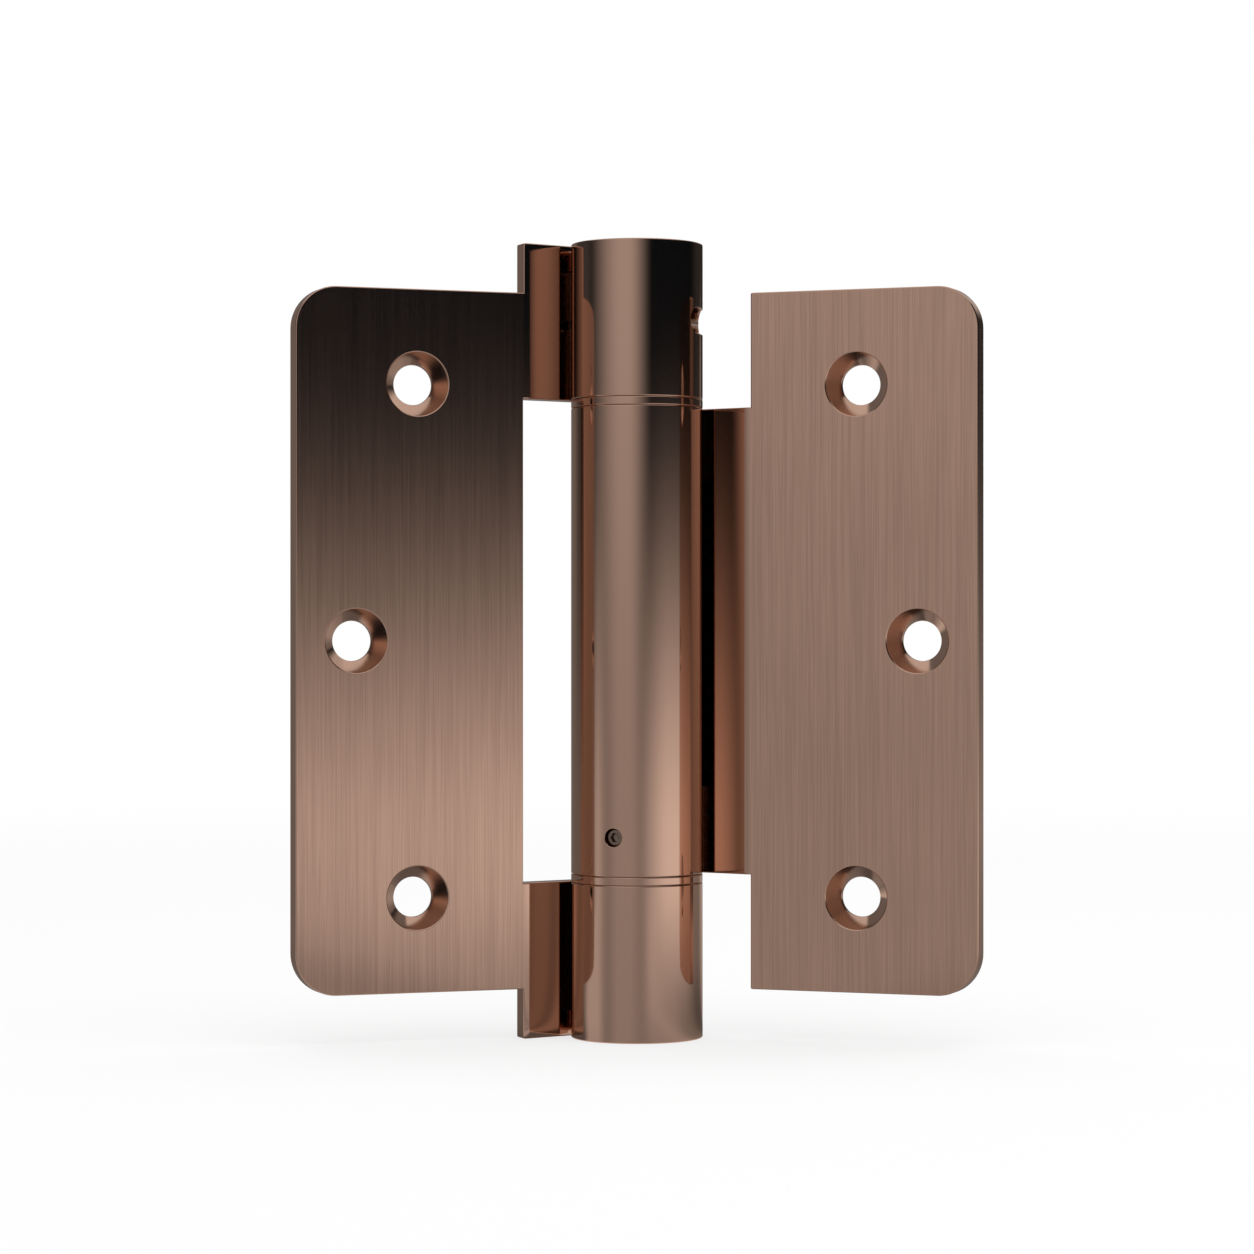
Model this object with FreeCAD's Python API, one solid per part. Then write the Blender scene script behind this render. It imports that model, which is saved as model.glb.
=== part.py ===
import FreeCAD, Part
import math
import os

from FreeCAD import Vector

# A spring hinge for a door, in millimetres.
# The pin axis is +Z and the origin is the centre of the barrel's lower end.
# The front, -Y, is the side that the countersunk faces look to.
# An azimuth is counted from the front towards +X, where the door leaf is.

# Leaves: plates that swing towards the front, each by the same angle at rest
plate = 3.0
leaf_height = 100.0
leaf_reach = 50.0
leaf_inner_edge = 16.3
leaf_setback = 2.9
leaf_corner_radius = 6.0
leaf_edge_chamfer = 0.2
rest_swing_deg = 20.4

# Knuckles, rolled out of the leaves' own plate
bore_radius = 6.5
bend_inner_radius = 1.5
end_knuckle_length = 22.4
middle_knuckle_length = 67.1
knuckle_edge_chamfer = 0.2
seam_gap = 1.5
washer_thickness = 1.2
washer_edge_chamfer = 0.2

# Countersunk screw holes, set in from the leaf's outer edge and its ends
screw_radius = 2.85
sink_radius = 4.6
sink_depth = 2.5
column_inset = 17.9
middle_screw_inset = 8.9
screw_end_inset = 13.5

# Tension slot in the top knuckle, milled by a cutter that swings round the axis
slot_height = 3.75
slot_middle_azimuth_deg = 82.0
slot_swing_deg = 33.2

# Plugs that turn in the knuckles, and the nylon bushes they turn in
plug_clearance = 0.05
bush_wall = 0.6
bush_clearance = 0.05
upper_bush_length = 10.0
plug_chamfer = 0.4
arbor_clearance = 0.3
arbor_length = 8.0

# Winding holes in the tension collar, and the pin that holds the tension
winding_holes = 9
winding_hole_radius = 0.8
winding_hole_depth = 2.7
pin_clearance = 0.05
pin_recess = 0.4
pin_stop_gap = 0.02
pin_tip_chamfer = 0.2

# Torsion spring of square wire
wire = 2.0
spring_pitch = 2.6
spring_end_gap = 0.3
spring_bush_gap = 0.2
tang_length = 3.0
tang_clearance = 0.1
anchor_cover = 6.8

# Grub screw that locks the spring anchor in the middle knuckle
set_screw_radius = 1.3
set_screw_clearance = 0.04
set_screw_length = 4.0
set_screw_recess = 0.9
set_screw_azimuth_deg = -21.0
set_screw_height = 5.6
hex_across_flats = 1.3
hex_depth = 1.2
hex_sides = 6

# Caps pressed into the barrel's ends
cap_thickness = 3.0
cap_recess = 0.3
cap_running_gap = 0.1

# Two places closer than this are the same
touching = 1e-6

# Sizes that follow from those above
outer_radius = bore_radius + plate
barrel_height = 2 * end_knuckle_length + 2 * washer_thickness + middle_knuckle_length
leaf_bottom = (barrel_height - leaf_height) / 2
leaf_top = leaf_bottom + leaf_height
lower_washer_z = end_knuckle_length
middle_knuckle_z = lower_washer_z + washer_thickness
upper_washer_z = middle_knuckle_z + middle_knuckle_length
top_knuckle_z = upper_washer_z + washer_thickness
slot_z = top_knuckle_z + end_knuckle_length / 2
slot_radius = slot_height / 2
slot_first_azimuth = slot_middle_azimuth_deg - slot_swing_deg / 2
slot_last_azimuth = slot_middle_azimuth_deg + slot_swing_deg / 2
plug_radius = bore_radius - plug_clearance
journal_radius = plug_radius - bush_wall - bush_clearance
spring_outer_radius = journal_radius + bush_clearance - spring_bush_gap
spring_inner_radius = spring_outer_radius - wire
spring_middle_radius = spring_outer_radius - wire / 2
arbor_radius = spring_inner_radius - arbor_clearance
pin_radius = winding_hole_radius - pin_clearance
pin_tip_radius = outer_radius - pin_recess
pin_seat_radius = plug_radius - winding_hole_depth
pin_swing = math.degrees(math.asin((slot_radius - pin_radius - pin_stop_gap) / pin_tip_radius))
pin_azimuth = slot_last_azimuth + pin_swing
set_screw_z = middle_knuckle_z + set_screw_height
set_screw_tip_radius = outer_radius - set_screw_recess - set_screw_length
anchor_top = set_screw_z + anchor_cover
bottom_cap_top = cap_recess + cap_thickness
top_cap_bottom = barrel_height - cap_recess - cap_thickness
collar_drive_z = upper_washer_z - upper_bush_length - spring_end_gap

# The arm leans back from the leaf by the angle that lays its back on the barrel's outer circle
bend_outer_radius = bend_inner_radius + plate
bend_centre_setback = leaf_setback + plate + bend_inner_radius
bend_centre_distance = math.hypot(leaf_inner_edge, bend_centre_setback)
arm_lean = math.asin((outer_radius + bend_inner_radius) / bend_centre_distance)
arm_lean -= math.atan2(bend_centre_setback, leaf_inner_edge)
arm_length = leaf_inner_edge * math.cos(arm_lean) - bend_centre_setback * math.sin(arm_lean)
curl_start = arm_lean - math.pi / 2
curl_end = arm_lean - 2 * math.pi - math.asin((bore_radius - seam_gap) / outer_radius)


def polar(radius, angle):
    """A point at this radius and angle, as two numbers."""
    return radius * math.cos(angle), radius * math.sin(angle)


def on_arm(along, across):
    """A point given along the arm, outwards, and across it, towards the front."""
    u = along * math.cos(arm_lean) - across * math.sin(arm_lean)
    v = along * math.sin(arm_lean) + across * math.cos(arm_lean)
    return u, v


def on_bend(radius, angle):
    """A point on a circle round the bend's centre."""
    u, v = polar(radius, angle)
    return leaf_inner_edge + u, v - bend_centre_setback


def arm_section(hand):
    """The rolled strip's section: bend, arm and curl, with u outwards and v to the front."""
    to_leaf = math.pi / 2
    to_arm = math.pi / 2 + arm_lean
    mid_bend = (to_leaf + to_arm) / 2
    mid_curl = (curl_start + curl_end) / 2
    front_leaf = on_bend(bend_outer_radius, to_leaf)
    front_bend = on_bend(bend_outer_radius, mid_bend)
    front_arm = on_arm(arm_length, -bore_radius)
    front_foot = on_arm(0, -bore_radius)
    inner_mid = polar(bore_radius, mid_curl)
    inner_end = polar(bore_radius, curl_end)
    outer_end = polar(outer_radius, curl_end)
    outer_mid = polar(outer_radius, mid_curl)
    back_foot = on_arm(0, -outer_radius)
    back_arm = on_arm(arm_length, -outer_radius)
    back_bend = on_bend(bend_inner_radius, mid_bend)
    back_leaf = on_bend(bend_inner_radius, to_leaf)

    def at(point):
        return Vector(point[0], hand * point[1], 0)

    edges = [
        Part.Arc(at(front_leaf), at(front_bend), at(front_arm)).toShape(),
        Part.LineSegment(at(front_arm), at(front_foot)).toShape(),
        Part.Arc(at(front_foot), at(inner_mid), at(inner_end)).toShape(),
        Part.LineSegment(at(inner_end), at(outer_end)).toShape(),
        Part.Arc(at(outer_end), at(outer_mid), at(back_foot)).toShape(),
        Part.LineSegment(at(back_foot), at(back_arm)).toShape(),
        Part.Arc(at(back_arm), at(back_bend), at(back_leaf)).toShape(),
        Part.LineSegment(at(back_leaf), at(front_leaf)).toShape(),
    ]
    return Part.Face(Part.Wire(edges))


def rim_edges(solid, bottom, top):
    """The edges of the barrel's outer circle at the two ends of a knuckle."""
    found = []
    for edge in solid.Edges:
        circle = isinstance(edge.Curve, Part.Circle)
        if circle and abs(edge.Curve.Radius - outer_radius) < touching:
            height = edge.Curve.Center.z
            if min(abs(height - bottom), abs(height - top)) < touching:
                found.append(edge)
    return found


def knuckle(hand, bottom, length):
    """One rolled knuckle with its arm, its outer edges chamfered along curl, arm and bend."""
    strip = arm_section(hand).extrude(Vector(0, 0, length))
    strip.translate(Vector(0, 0, bottom))
    chamfer = min(knuckle_edge_chamfer, plate / 3)
    return strip.makeChamfer(chamfer, rim_edges(strip, bottom, bottom + length))


def panel_outline(hand):
    """The flat of a leaf on its front plane: square at the arms, rounded at the outer corners."""
    radius = min(leaf_corner_radius, leaf_height / 3)
    diagonal = radius * math.sqrt(0.5)
    y = -hand * leaf_setback

    def at(u, z):
        return Vector(u, y, z)

    far = leaf_reach - radius
    low = leaf_bottom + radius
    high = leaf_top - radius
    edges = [
        Part.LineSegment(at(leaf_inner_edge, leaf_bottom), at(far, leaf_bottom)).toShape(),
        Part.Arc(
            at(far, leaf_bottom), at(far + diagonal, low - diagonal), at(leaf_reach, low)
        ).toShape(),
        Part.LineSegment(at(leaf_reach, low), at(leaf_reach, high)).toShape(),
        Part.Arc(
            at(leaf_reach, high), at(far + diagonal, high + diagonal), at(far, leaf_top)
        ).toShape(),
        Part.LineSegment(at(far, leaf_top), at(leaf_inner_edge, leaf_top)).toShape(),
        Part.LineSegment(
            at(leaf_inner_edge, leaf_top), at(leaf_inner_edge, leaf_bottom)
        ).toShape(),
    ]
    return Part.Face(Part.Wire(edges))


def outline_edges(panel):
    """The edges of a panel's front and back, apart from those at its arms."""
    found = []
    for edge in panel.Edges:
        box = edge.BoundBox
        on_a_face = box.YLength < touching
        at_the_arms = box.XMax < leaf_inner_edge + touching
        if on_a_face and not at_the_arms:
            found.append(edge)
    return found


def screw_places():
    """The screw holes as (distance from the axis, height)."""
    column = leaf_reach - column_inset
    return [
        (column, leaf_top - screw_end_inset),
        (leaf_reach - middle_screw_inset, (leaf_bottom + leaf_top) / 2),
        (column, leaf_bottom + screw_end_inset),
    ]


def countersink(hand, u, z):
    """The cutter for one screw hole, driven in from the front face."""
    inwards = Vector(0, -hand, 0)
    mouth = Vector(u, -hand * leaf_setback, z)
    outside = Part.makeCylinder(sink_radius, plate, mouth - inwards * plate, inwards)
    cone = Part.makeCone(sink_radius, screw_radius, sink_depth, mouth, inwards)
    drill = Part.makeCylinder(screw_radius, 2 * plate, mouth, inwards)
    return outside.fuse([cone, drill])


def leaf_panel(hand):
    """The flat of a leaf, with chamfered edges and three countersunk holes."""
    panel = panel_outline(hand).extrude(Vector(0, -hand * plate, 0))
    panel = panel.makeChamfer(min(leaf_edge_chamfer, plate / 3), outline_edges(panel))
    return panel.cut([countersink(hand, u, z) for u, z in screw_places()])


def one_solid(shape):
    """The single solid of a boolean's result, with its split faces joined."""
    merged = shape.removeSplitter()
    return merged.Solids[0] if len(merged.Solids) == 1 else merged


def swung(shape, angle_deg):
    """The shape turned about the pin axis."""
    turned_shape = shape.copy()
    turned_shape.rotate(Vector(0, 0, 0), Vector(0, 0, 1), angle_deg)
    return turned_shape


def outwards(azimuth_deg):
    """The horizontal direction at an azimuth."""
    azimuth = math.radians(azimuth_deg)
    return Vector(math.sin(azimuth), -math.cos(azimuth), 0)


def radial_rod(radius, inner, outer, azimuth_deg, z):
    """A round rod or drill that points away from the axis."""
    direction = outwards(azimuth_deg)
    start = direction * inner
    start.z = z
    return Part.makeCylinder(radius, outer - inner, start, direction)


def slot_cutter():
    """What the cutter sweeps: a sector of a ring, and the cutter itself at both ends."""
    inner = bore_radius / 2
    outer = outer_radius + plate
    low = slot_z - slot_radius
    section = Part.makePolygon(
        [
            Vector(inner, 0, low),
            Vector(outer, 0, low),
            Vector(outer, 0, low + slot_height),
            Vector(inner, 0, low + slot_height),
            Vector(inner, 0, low),
        ]
    )
    sector = Part.Face(section).revolve(Vector(0, 0, 0), Vector(0, 0, 1), slot_swing_deg)
    sector = swung(sector, slot_first_azimuth - 90)
    ends = [
        radial_rod(slot_radius, inner, outer, azimuth, slot_z)
        for azimuth in (slot_first_azimuth, slot_last_azimuth)
    ]
    return [sector] + ends


def frame_leaf():
    """The leaf on the jamb: two end knuckles, and the tension slot in the top one."""
    bottom = knuckle(1, 0, end_knuckle_length)
    top = knuckle(1, top_knuckle_z, end_knuckle_length)
    leaf = swung(leaf_panel(1).fuse([bottom, top]), 180 + rest_swing_deg)
    return one_solid(leaf.cut(slot_cutter()))


def door_leaf():
    """The leaf on the door: one long middle knuckle, tapped for the grub screw."""
    middle = knuckle(-1, middle_knuckle_z, middle_knuckle_length)
    leaf = swung(leaf_panel(-1).fuse(middle), -rest_swing_deg)
    tapping = radial_rod(
        set_screw_radius, bore_radius / 2, outer_radius + plate, set_screw_azimuth_deg, set_screw_z
    )
    return one_solid(leaf.cut(tapping))


def turned(points):
    """A solid of revolution from its half section, given as (radius, height)."""
    corners = [Vector(radius, 0, z) for radius, z in points]
    section = Part.Face(Part.makePolygon(corners + corners[:1]))
    return section.revolve(Vector(0, 0, 0), Vector(0, 0, 1), 360)


def washer(z):
    """A flat ring between two knuckles, its outer edges chamfered."""
    top = z + washer_thickness
    chamfer = min(washer_edge_chamfer, washer_thickness / 3)
    return turned(
        [
            (bore_radius + plug_clearance, z),
            (outer_radius - chamfer, z),
            (outer_radius, z + chamfer),
            (outer_radius, top - chamfer),
            (outer_radius - chamfer, top),
            (bore_radius + plug_clearance, top),
        ]
    )


def bush(bottom, top):
    """A nylon sleeve between a plug's journal and the bore."""
    return turned(
        [
            (journal_radius + bush_clearance, bottom),
            (plug_radius, bottom),
            (plug_radius, top),
            (journal_radius + bush_clearance, top),
        ]
    )


def cap(low, high, outer_face):
    """A disc in the barrel's end, chamfered round its outer face."""
    chamfered = plug_radius - plug_chamfer
    if outer_face == high:
        rim = [(plug_radius, low), (plug_radius, high - plug_chamfer), (chamfered, high)]
    else:
        rim = [(chamfered, low), (plug_radius, low + plug_chamfer), (plug_radius, high)]
    return turned([(0, low)] + rim + [(0, high)])


def spring_turns():
    """How many turns fit between the anchor and the collar."""
    return (collar_drive_z - anchor_top - 2 * spring_end_gap - wire) / spring_pitch


def tang_angle(turns):
    """Where the wire is after so many turns, wound left-handed from the front."""
    return -90 - 360 * turns


def tang_block(angle_deg, low, high, margin):
    """The straight end of the wire, or with a margin the notch that holds it."""
    side = wire + 2 * margin
    block = Part.makeBox(side, side, high - low)
    block.translate(Vector(spring_middle_radius - side / 2, -side / 2, low))
    return swung(block, angle_deg)


def notch(angle_deg, low, high):
    """A notch across a plug's end, open at its side."""
    width = wire + 2 * tang_clearance
    inner = spring_inner_radius - tang_clearance
    block = Part.makeBox(plug_radius + plate - inner, width, high - low)
    block.translate(Vector(inner, -width / 2, low))
    return swung(block, angle_deg)


def tension_collar():
    """The plug that winds the spring: drilled head, journal, and arbor inside the spring."""
    top = top_cap_bottom - cap_running_gap
    drive = collar_drive_z
    body = turned(
        [
            (0, drive - arbor_length),
            (arbor_radius - plug_chamfer, drive - arbor_length),
            (arbor_radius, drive - arbor_length + plug_chamfer),
            (arbor_radius, drive),
            (journal_radius, drive),
            (journal_radius, upper_washer_z),
            (plug_radius, upper_washer_z),
            (plug_radius, top - plug_chamfer),
            (plug_radius - plug_chamfer, top),
            (0, top),
        ]
    )
    holes = [
        radial_rod(
            winding_hole_radius,
            pin_seat_radius,
            plug_radius + plate,
            pin_azimuth + 360 * index / winding_holes,
            slot_z,
        )
        for index in range(winding_holes)
    ]
    holes.append(notch(tang_angle(spring_turns()), drive - tang_length, drive + tang_length))
    return one_solid(body.cut(holes))


def spring_anchor():
    """The plug that holds the spring's lower end and turns with the door leaf."""
    body = turned(
        [
            (0, bottom_cap_top + cap_running_gap),
            (journal_radius - plug_chamfer, bottom_cap_top + cap_running_gap),
            (journal_radius, bottom_cap_top + cap_running_gap + plug_chamfer),
            (journal_radius, lower_washer_z),
            (plug_radius, lower_washer_z),
            (plug_radius, anchor_top),
            (arbor_radius, anchor_top),
            (arbor_radius, anchor_top + arbor_length - plug_chamfer),
            (arbor_radius - plug_chamfer, anchor_top + arbor_length),
            (0, anchor_top + arbor_length),
        ]
    )
    seat = radial_rod(
        set_screw_radius, set_screw_tip_radius, outer_radius, set_screw_azimuth_deg, set_screw_z
    )
    lower_notch = notch(tang_angle(0), anchor_top - tang_length - tang_clearance, anchor_top + wire)
    return one_solid(body.cut([seat, lower_notch]))


def torsion_spring():
    """Square wire with a straight tang at each end, left-handed, so opening the door winds it up."""
    turns = spring_turns()
    start = anchor_top + spring_end_gap + wire / 2
    path = Part.makeLongHelix(spring_pitch, turns * spring_pitch, spring_middle_radius, 0, True)
    half = wire / 2
    section = Part.makePolygon(
        [
            Vector(spring_middle_radius - half, 0, -half),
            Vector(spring_middle_radius + half, 0, -half),
            Vector(spring_middle_radius + half, 0, half),
            Vector(spring_middle_radius - half, 0, half),
            Vector(spring_middle_radius - half, 0, -half),
        ]
    )
    coil = Part.Wire(path.Edges).makePipeShell([section], True, True)
    coil.translate(Vector(0, 0, start))
    coil = swung(coil, tang_angle(0))
    lower = tang_block(tang_angle(0), anchor_top - tang_length, start, 0)
    end = start + turns * spring_pitch
    upper = tang_block(tang_angle(turns), end, collar_drive_z + tang_length, 0)
    return one_solid(coil.fuse([lower, upper]))


def tension_pin():
    """The pin in a winding hole, resting on the slot's end."""
    pin = radial_rod(pin_radius, pin_seat_radius, pin_tip_radius, pin_azimuth, slot_z)
    tip = outwards(pin_azimuth) * pin_tip_radius
    rims = [edge for edge in pin.Edges if isinstance(edge.Curve, Part.Circle)]
    outer_rim = max(rims, key=lambda edge: edge.Curve.Center.dot(tip))
    return pin.makeChamfer(min(pin_tip_chamfer, pin_radius / 2), [outer_rim])


def anchor_set_screw():
    """The grub screw, with a hexagon socket in its outer end."""
    head = set_screw_tip_radius + set_screw_length
    screw = radial_rod(
        set_screw_radius - set_screw_clearance,
        set_screw_tip_radius,
        head,
        set_screw_azimuth_deg,
        set_screw_z,
    )
    corner = hex_across_flats / 2 / math.cos(math.pi / hex_sides)
    ring = [
        Vector(head, *polar(corner, math.pi / 2 + 2 * math.pi * side / hex_sides))
        for side in range(hex_sides)
    ]
    socket = Part.Face(Part.makePolygon(ring + ring[:1])).extrude(Vector(-hex_depth, 0, 0))
    socket = swung(socket, set_screw_azimuth_deg - 90)
    socket.translate(Vector(0, 0, set_screw_z))
    return one_solid(screw.cut(socket))


pieces = {
    "frame_leaf": frame_leaf(),
    "door_leaf": door_leaf(),
    "upper_washer": washer(upper_washer_z),
    "lower_washer": washer(lower_washer_z),
    "tension_collar": tension_collar(),
    "tension_pin": tension_pin(),
    "torsion_spring": torsion_spring(),
    "spring_anchor": spring_anchor(),
    "anchor_set_screw": anchor_set_screw(),
    "upper_bush": bush(upper_washer_z - upper_bush_length, upper_washer_z),
    "lower_bush": bush(bottom_cap_top, lower_washer_z),
    "top_cap": cap(top_cap_bottom, barrel_height - cap_recess, barrel_height - cap_recess),
    "bottom_cap": cap(cap_recess, bottom_cap_top, cap_recess),
}

os.makedirs("parts", exist_ok=True)
for name, shape in pieces.items():
    shape.exportStep(f"parts/{name}.step")
    print(name, len(shape.Solids), shape.isValid(), round(shape.Volume, 2), shape.BoundBox)
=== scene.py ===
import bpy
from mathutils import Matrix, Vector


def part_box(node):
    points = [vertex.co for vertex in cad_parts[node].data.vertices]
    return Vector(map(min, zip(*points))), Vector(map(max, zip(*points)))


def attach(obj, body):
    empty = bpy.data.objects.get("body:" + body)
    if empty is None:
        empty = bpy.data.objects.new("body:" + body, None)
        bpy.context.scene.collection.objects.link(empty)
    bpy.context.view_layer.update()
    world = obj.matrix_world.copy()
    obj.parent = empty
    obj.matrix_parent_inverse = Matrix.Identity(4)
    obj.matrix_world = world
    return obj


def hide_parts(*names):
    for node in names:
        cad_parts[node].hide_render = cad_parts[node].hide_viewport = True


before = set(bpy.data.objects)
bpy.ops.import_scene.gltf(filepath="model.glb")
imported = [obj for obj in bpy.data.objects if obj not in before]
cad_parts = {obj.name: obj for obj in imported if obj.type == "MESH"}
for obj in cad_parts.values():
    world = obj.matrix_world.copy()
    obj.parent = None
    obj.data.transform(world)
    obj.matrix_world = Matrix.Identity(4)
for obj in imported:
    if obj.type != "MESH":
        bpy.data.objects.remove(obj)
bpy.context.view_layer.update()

import math

import bmesh
import bpy
from bpy.props import FloatProperty, FloatVectorProperty, IntProperty, PointerProperty
from mathutils import Matrix, Vector

bl_info = {
    "name": "Spring Hinge",
    "version": (1, 0, 0),
    "blender": (4, 5, 0),
    "location": "3D View > Sidebar > Spring Hinge",
    "description": "Models, finishes and stages a self-closing door hinge on its packed frame",
    "category": "Object",
}

# Pieces are modelled in millimetres and brought to metres when they are finished.
MM = 1000.0
# The frame leaf is curled one way round the pin and the door leaf the other.
FRAME_HAND = 1
DOOR_HAND = -1
# Two points nearer than this are one, in millimetres.
TOUCHING = 1e-5
# A place is read from a mesh to within this, in millimetres.
NEARLY = 1e-3
# How far a cutter stands clear of what it cuts, in millimetres.
CLEAR = 1.0
# Faces that meet at less than this are shaded as one.
SHARP = math.radians(32)
# Steps round the washers, the plugs, a countersink, a small pin or hole, and a winding hole.
RING_STEPS = 128
PLUG_STEPS = 96
SINK_STEPS = 72
PIN_STEPS = 48
WINDING_STEPS = 32
# Steps of the bend into the arms, and the angle of about one step of the curl.
BEND_STEPS = 6
CURL_STEP = math.radians(3)
# The finishes of a leaf's faces, of its arms and knuckles, and of its countersinks.
LEAF_FINISHES = ("brushed_bronze", "polished_bronze", "countersunk_bronze")
BRUSHED, POLISHED, SUNK = range(3)


# Sizes and colours that a user may change


def length(name, description, default):
    """A size in metres, shown as a length."""
    return FloatProperty(
        name=name, description=description, default=default, min=0.0, precision=5, unit="LENGTH"
    )


def angle(name, description, degrees):
    """An angle, given here in degrees."""
    return FloatProperty(
        name=name, description=description, default=math.radians(degrees), subtype="ANGLE"
    )


def share(name, description, default):
    """A number from 0 to 1."""
    return FloatProperty(
        name=name, description=description, default=default, min=0.0, max=1.0, subtype="FACTOR"
    )


def colour(name, description, default):
    """A linear colour."""
    return FloatVectorProperty(
        name=name, description=description, default=default, min=0.0, max=1.0, size=3, subtype="COLOR"
    )


upper_ring_low, upper_ring_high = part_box("upper_washer")
lower_ring_low, lower_ring_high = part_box("lower_washer")
barrel_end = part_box("frame_leaf")[1].z
leaf_low, leaf_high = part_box("door_leaf")
top_cap_low, top_cap_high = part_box("top_cap")
bottom_cap_low, bottom_cap_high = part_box("bottom_cap")
bush_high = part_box("upper_bush")[1]


class LeafSizes(bpy.types.PropertyGroup):
    """The flat part of both leaves and its screw holes."""

    plate: length("Plate", "Thickness of the sheet that leaf and knuckles are made of", 0.003)
    bottom: length("Bottom", "Height of the leaf's lower edge", leaf_low.z)
    top: length("Top", "Height of the leaf's upper edge", leaf_high.z)
    reach: length("Reach", "From the pin axis to the leaf's outer edge", 0.050)
    inner_edge: length("Inner edge", "From the pin axis to the bend into the arms", 0.0163)
    setback: length("Setback", "How far the front face lies behind the pin axis", 0.0029)
    corner: length("Corner", "Radius of the outer corners", 0.006)
    arris: length("Arris", "Rounding of every edge of the sheet", 0.0002)
    swing: angle("Swing", "Angle of each leaf towards the front at rest", 20.4)
    screw_radius: length("Screw radius", "Radius of the screw holes", 0.00285)
    sink_radius: length("Sink radius", "Radius of the countersinks at the face", 0.0046)
    sink_depth: length("Sink depth", "Depth of the countersinks", 0.0025)
    sink_arris: length("Sink arris", "Rounding of the countersinks' rims", 0.00012)
    column_inset: length("Column inset", "Upper and lower holes from the outer edge", 0.0179)
    middle_inset: length("Middle inset", "Middle hole from the outer edge", 0.0089)
    end_inset: length("End inset", "Upper and lower holes from the leaf's ends", 0.0135)


class BarrelSizes(bpy.types.PropertyGroup):
    """The rolled knuckles and the parts that turn in them."""

    height: length("Height", "Height of the whole barrel", barrel_end)
    bore_radius: length("Bore radius", "Inner radius of the knuckles", 0.0065)
    bend_radius: length("Bend radius", "Inner radius of the bend between leaf and arm", 0.0015)
    lower_ring: length("Lower ring", "Underside of the lower washer", lower_ring_low.z)
    lower_ring_top: length("Lower ring top", "Top of the lower washer", lower_ring_high.z)
    upper_ring: length("Upper ring", "Underside of the upper washer", upper_ring_low.z)
    upper_ring_top: length("Upper ring top", "Top of the upper washer", upper_ring_high.z)
    ring_arris: length("Ring arris", "Rounding of the washers' outer edges", 0.00016)
    ring_play: length("Ring play", "How much wider than the bore the washers' holes are", 0.00005)
    seam_gap: length("Seam gap", "From the end of the curl to the arm", 0.0015)
    slot_height: length("Slot height", "Height of the tension slot", 0.00375)
    slot_middle: angle("Slot middle", "Azimuth of the slot's middle", 82.0)
    slot_swing: angle("Slot swing", "Angle that the slot's cutter swings through", 33.2)
    slot_arris: length("Slot arris", "Rounding of the slot's outer edge", 0.00005)
    plug_radius: length("Plug radius", "Radius of the plugs in the bore", bush_high.x)
    plug_chamfer: length("Plug chamfer", "Chamfer of the plugs' ends", 0.0004)
    journal_radius: length("Journal radius", "Radius of the plugs inside the bushes", 0.0058)
    arbor_radius: length("Arbor radius", "Radius of the plugs inside the spring", 0.00335)
    collar_drive: length("Collar drive", "Height of the collar's face on the spring", 0.0804)
    collar_top: length("Collar top", "Height of the collar's upper end", 0.1109)
    pin_azimuth: angle("Pin azimuth", "Azimuth of the tension pin", 105.57)
    pin_radius: length("Pin radius", "Radius of the tension pin", 0.00075)
    pin_recess: length("Pin recess", "How far the pin's tip lies inside the barrel", 0.0004)
    winding_radius: length("Winding radius", "Radius of the winding holes", 0.0008)
    winding_depth: length("Winding depth", "Depth of the winding holes", 0.0027)
    winding_holes: IntProperty(
        name="Winding holes", description="Holes round the collar", default=9, min=1
    )
    grub_radius: length("Grub screw radius", "Radius of the grub screw and its hole", 0.0013)
    grub_azimuth: angle("Grub screw azimuth", "Azimuth of the grub screw", -21.0)
    grub_height: length("Grub screw height", "Height of the grub screw", 0.0292)
    grub_length: length("Grub screw length", "Length of the grub screw", 0.004)
    grub_recess: length("Grub screw recess", "How far its end lies inside the barrel", 0.0009)
    grub_pitch: length("Grub screw pitch", "Pitch of its thread", 0.00045)
    grub_arris: length("Grub hole arris", "Rounding of the hole's rim", 0.0001)
    socket_flats: length("Socket flats", "Width across the socket's flats", 0.0013)
    socket_depth: length("Socket depth", "Depth of the hexagon socket", 0.0012)


class FinishColours(bpy.types.PropertyGroup):
    """Colours and polish of the metals and the nylon."""

    bronze: colour("Bronze", "Rose bronze plating of leaves, barrel and rings", (0.56, 0.352, 0.264))
    brushed_roughness: share("Brushed roughness", "Roughness of the leaves' faces", 0.15)
    polished_roughness: share("Polished roughness", "Roughness of the barrel", 0.07)
    lacquer: share("Lacquer", "Weight of the clear satin lacquer on the plating", 0.05)
    rim: colour("Rim", "Tint of the plating at a grazing angle", (0.98, 0.86, 0.78))
    bare_steel: colour("Bare steel", "Turned and oiled steel", (0.42, 0.40, 0.38))
    pin_steel: colour("Pin steel", "Ground steel of the pin", (0.56, 0.42, 0.35))
    oxide: colour("Oxide", "Darkened steel of the grub screw", (0.26, 0.19, 0.155))
    spring: colour("Spring", "Oil-tempered wire", (0.20, 0.19, 0.18))
    nylon: colour("Nylon", "Black nylon", (0.035, 0.035, 0.035))


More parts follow.
